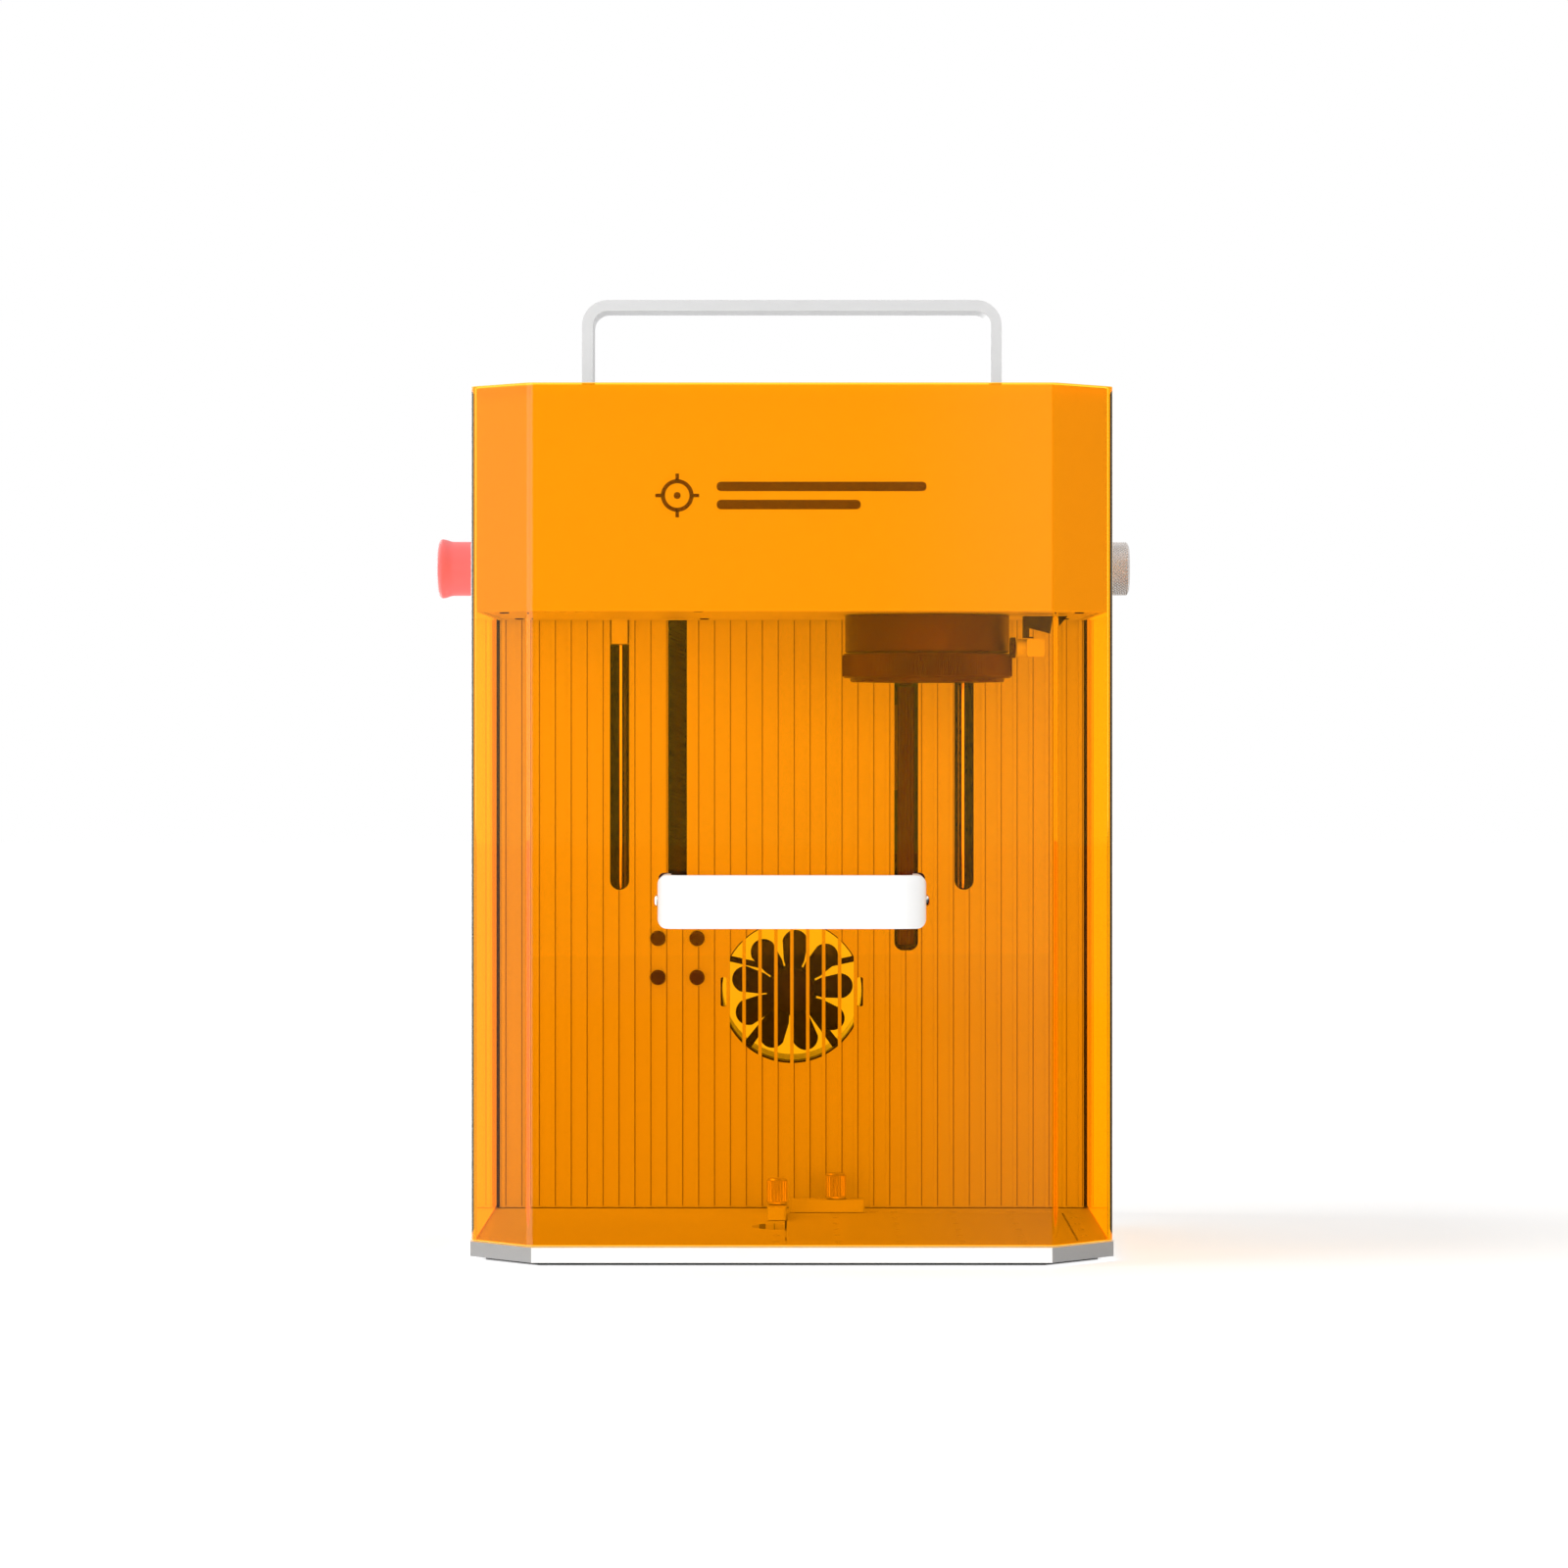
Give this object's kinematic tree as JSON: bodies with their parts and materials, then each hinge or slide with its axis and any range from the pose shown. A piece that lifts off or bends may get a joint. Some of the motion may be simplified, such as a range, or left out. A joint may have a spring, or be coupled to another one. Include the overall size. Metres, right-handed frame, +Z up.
{
  "type": "laser engraver",
  "caption": "Desktop laser engraver with a lifting scan head behind a sliding tinted safety door, a hole-grid bed, a rear fan and a carrying handle.",
  "frame": {"origin": "centre of the underside of the base pad, on the surface that the engraver stands on", "axes": "+X to the right seen from the front, +Y from the door to the rear housing, +Z up"},
  "size_m": [0.2423, 0.2085, 0.321],
  "materials": {
    "white_paint": "fine satin white powder coat",
    "white_plastic": "fine-grained white moulding",
    "tinted_acrylic": "clear orange acrylic with polished edges",
    "black_plastic": "matt black moulding",
    "black_metal": "black anodised",
    "aluminium": "clear anodised, machined",
    "steel": "ground and nickel plated",
    "brass": "turned",
    "red_plastic": "satin red moulding",
    "rubber": "matt anti-slip sheet",
    "lens_glass": "coated optical glass",
    "mirror": "silvered",
    "circuit_board": "green solder mask"
  },
  "bodies": {
    "frame": {"base_pad": "rubber", "base_plate": "white_paint", "bed_plate": "white_paint", "rear_housing": "white_paint", "ribbed_wall": "white_paint", "rear_cover": "white_paint", "left_guide_strip": "black_plastic", "right_guide_strip": "black_plastic", "top_handle": "white_paint", "left_guide_rod": "steel", "right_guide_rod": "steel", "upper_bracket": "aluminium", "lower_bracket": "aluminium", "lift_motor": "black_metal", "wall_screw_1": "black_metal", "wall_screw_2": "black_metal", "wall_screw_3": "black_metal", "wall_screw_4": "black_metal", "fan_frame": "black_plastic", "fan_duct": "white_plastic", "main_board": "circuit_board", "power_socket": "black_plastic", "usb_socket": "steel", "estop_body": "black_plastic", "encoder_body": "aluminium"},
    "head": {"head_shell": "white_plastic", "head_floor": "white_plastic", "left_carriage": "white_plastic", "right_carriage": "white_plastic", "lift_nut": "brass", "cable_clamp": "black_plastic", "head_cable": "black_plastic", "laser_module": "black_metal", "galvo_block": "black_metal", "galvo_motor_x": "black_metal", "galvo_motor_y": "black_metal", "lens_barrel": "black_metal", "pointer_bracket": "black_plastic", "pointer_block": "white_plastic", "pointer_cap": "black_metal"},
    "lens_cell": {"lens_ring": "black_metal", "field_lens": "lens_glass"},
    "mirror_x": {"galvo_mirror_x": "mirror"},
    "mirror_y": {"galvo_mirror_y": "mirror"},
    "screw": {"lead_screw": "steel"},
    "fan": {"fan_rotor": "black_plastic"},
    "door": {"door_shell": "tinted_acrylic", "door_handle": "white_plastic", "door_handle_post_left": "black_plastic", "door_handle_post_right": "black_plastic", "door_handle_screw_left": "steel", "door_handle_screw_right": "steel"},
    "stop_stem": {"estop_stem": "black_plastic"},
    "stop_button": {"estop_button": "red_plastic"},
    "knob": {"height_knob": "steel"},
    "rocker": {"power_rocker": "black_plastic"},
    "fence_left": {"left_fence": "white_plastic"},
    "thumbscrew_left": {"left_thumbscrew": "aluminium"},
    "fence_back": {"back_fence": "white_plastic"},
    "thumbscrew_back": {"back_thumbscrew": "aluminium"}
  },
  "joints": [
    {"name": "head_lift", "type": "slide", "parent": "frame", "child": "head", "axis": [0, 0, 1], "range_m": [-0.08, 0], "deforming": ["head_cable"]},
    {"name": "screw_turn", "type": "hinge", "parent": "frame", "child": "screw", "pos_m": [-0.0395, 0.057, 0.19], "axis": [0, 0, 1], "range_deg": [-3600, 3600]},
    {"name": "door_slide", "type": "slide", "parent": "frame", "child": "door", "axis": [0, 0, 1], "range_m": [0, 0.15]},
    {"name": "lens_turn", "type": "hinge", "parent": "head", "child": "lens_cell", "pos_m": [0.045, -0.022, 0.192], "axis": [0, 0, 1], "range_deg": [-90, 90]},
    {"name": "mirror_x_scan", "type": "hinge", "parent": "head", "child": "mirror_x", "pos_m": [0.045, -0.008, 0.238], "axis": [0, 0, 1], "range_deg": [-12, 12]},
    {"name": "mirror_y_scan", "type": "hinge", "parent": "head", "child": "mirror_y", "pos_m": [0.045, -0.022, 0.238], "axis": [1, 0, 0], "range_deg": [-12, 12]},
    {"name": "fan_spin", "type": "hinge", "parent": "frame", "child": "fan", "pos_m": [0, 0.05, 0.0807], "axis": [0, 1, 0], "continuous": true},
    {"name": "stop_press", "type": "slide", "parent": "frame", "child": "stop_stem", "axis": [1, 0, 0], "range_m": [0, 0.004]},
    {"name": "stop_twist", "type": "hinge", "parent": "stop_stem", "child": "stop_button", "pos_m": [-0.118, 0.068, 0.2276], "axis": [-1, 0, 0], "range_deg": [0, 40], "stiffness_Nm_per_rad": 0.05},
    {"name": "knob_turn", "type": "hinge", "parent": "frame", "child": "knob", "pos_m": [0.112, 0.068, 0.2276], "axis": [1, 0, 0], "continuous": true},
    {"name": "rocker_tilt", "type": "hinge", "parent": "frame", "child": "rocker", "pos_m": [-0.061, 0.085, 0.034], "axis": [1, 0, 0], "range_deg": [-16, 0]},
    {"name": "left_fence_swing", "type": "hinge", "parent": "frame", "child": "fence_left", "pos_m": [-0.005, 0.008, 0.008], "axis": [0, 0, 1], "range_deg": [0, 90]},
    {"name": "left_thumbscrew_turn", "type": "hinge", "parent": "fence_left", "child": "thumbscrew_left", "pos_m": [-0.005, 0.008, 0.008], "axis": [0, 0, 1], "continuous": true},
    {"name": "back_fence_swing", "type": "hinge", "parent": "frame", "child": "fence_back", "pos_m": [0.015, 0.028, 0.008], "axis": [0, 0, 1], "range_deg": [0, 90]},
    {"name": "back_thumbscrew_turn", "type": "hinge", "parent": "fence_back", "child": "thumbscrew_back", "pos_m": [0.015, 0.028, 0.008], "axis": [0, 0, 1], "continuous": true}
  ],
  "couplings": [
    {"joint": "screw_turn", "follows": "head_lift", "rad_per_m": -785.4}
  ]
}
